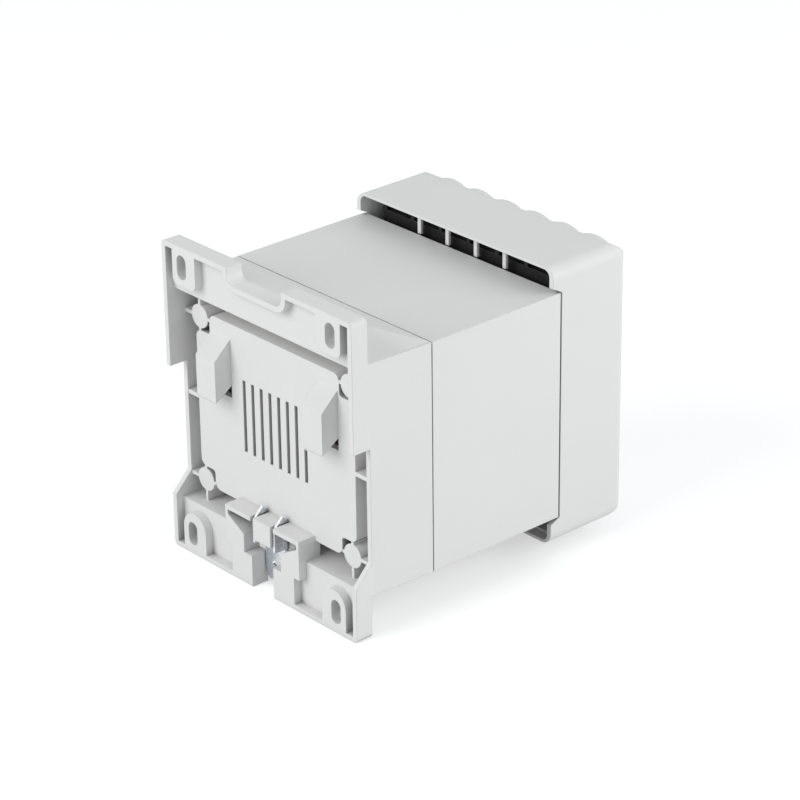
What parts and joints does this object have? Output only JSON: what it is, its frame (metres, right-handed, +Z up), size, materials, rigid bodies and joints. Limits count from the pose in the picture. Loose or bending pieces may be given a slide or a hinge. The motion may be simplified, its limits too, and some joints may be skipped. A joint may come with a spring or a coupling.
{
  "type": "din rail transformer",
  "caption": "Enclosed safety transformer for a 35 mm rail or a wall plate, light grey moulded case with fixed rail hooks and a sprung clip, terminals under the front cover.",
  "frame": {"origin": "midway between the two upper slots, on the rim that lies against the wall", "axes": "+Y out of the rim towards the wall, +Z up, +X to the left for someone looking at the back"},
  "size_m": [0.09, 0.1117, 0.105],
  "materials": {
    "housing_plastic": "matte light grey moulding",
    "zinc_sheet": "bright zinc plating",
    "spring_steel": "bare spring steel",
    "core_steel": "oxidised silicon steel",
    "bobbin_plastic": "glass-filled nylon",
    "enamelled_wire": "enamelled copper",
    "wrap_film": "polyester film",
    "zinc_fastener": "zinc plating",
    "terminal_plastic": "black moulding",
    "tinned_metal": "tin plating"
  },
  "bodies": {
    "housing": {"rear_housing": "housing_plastic", "middle_housing": "housing_plastic", "front_cover": "housing_plastic", "clip_spring": "spring_steel", "core_e_laminations": "core_steel", "core_i_laminations": "core_steel", "bobbin": "bobbin_plastic", "primary_winding": "enamelled_wire", "secondary_winding": "enamelled_wire", "primary_wrap": "wrap_film", "secondary_wrap": "wrap_film", "core_screws": "zinc_fastener", "core_washers": "zinc_fastener", "primary_terminal_block": "terminal_plastic", "secondary_terminal_block": "terminal_plastic", "primary_clamps": "zinc_fastener", "secondary_clamps": "zinc_fastener", "primary_terminal_screws": "zinc_fastener", "secondary_terminal_screws": "zinc_fastener", "primary_tags": "tinned_metal", "secondary_tags": "tinned_metal", "primary_leads": "enamelled_wire", "secondary_leads": "enamelled_wire"},
    "rail_clip": {"rail_clip": "zinc_sheet"}
  },
  "joints": [
    {"name": "rail_clip_slide", "type": "slide", "parent": "housing", "child": "rail_clip", "axis": [0, 0, -1], "range_m": [0, 0.003], "stiffness_N_per_m": 3000, "deforming": ["clip_spring"]}
  ]
}
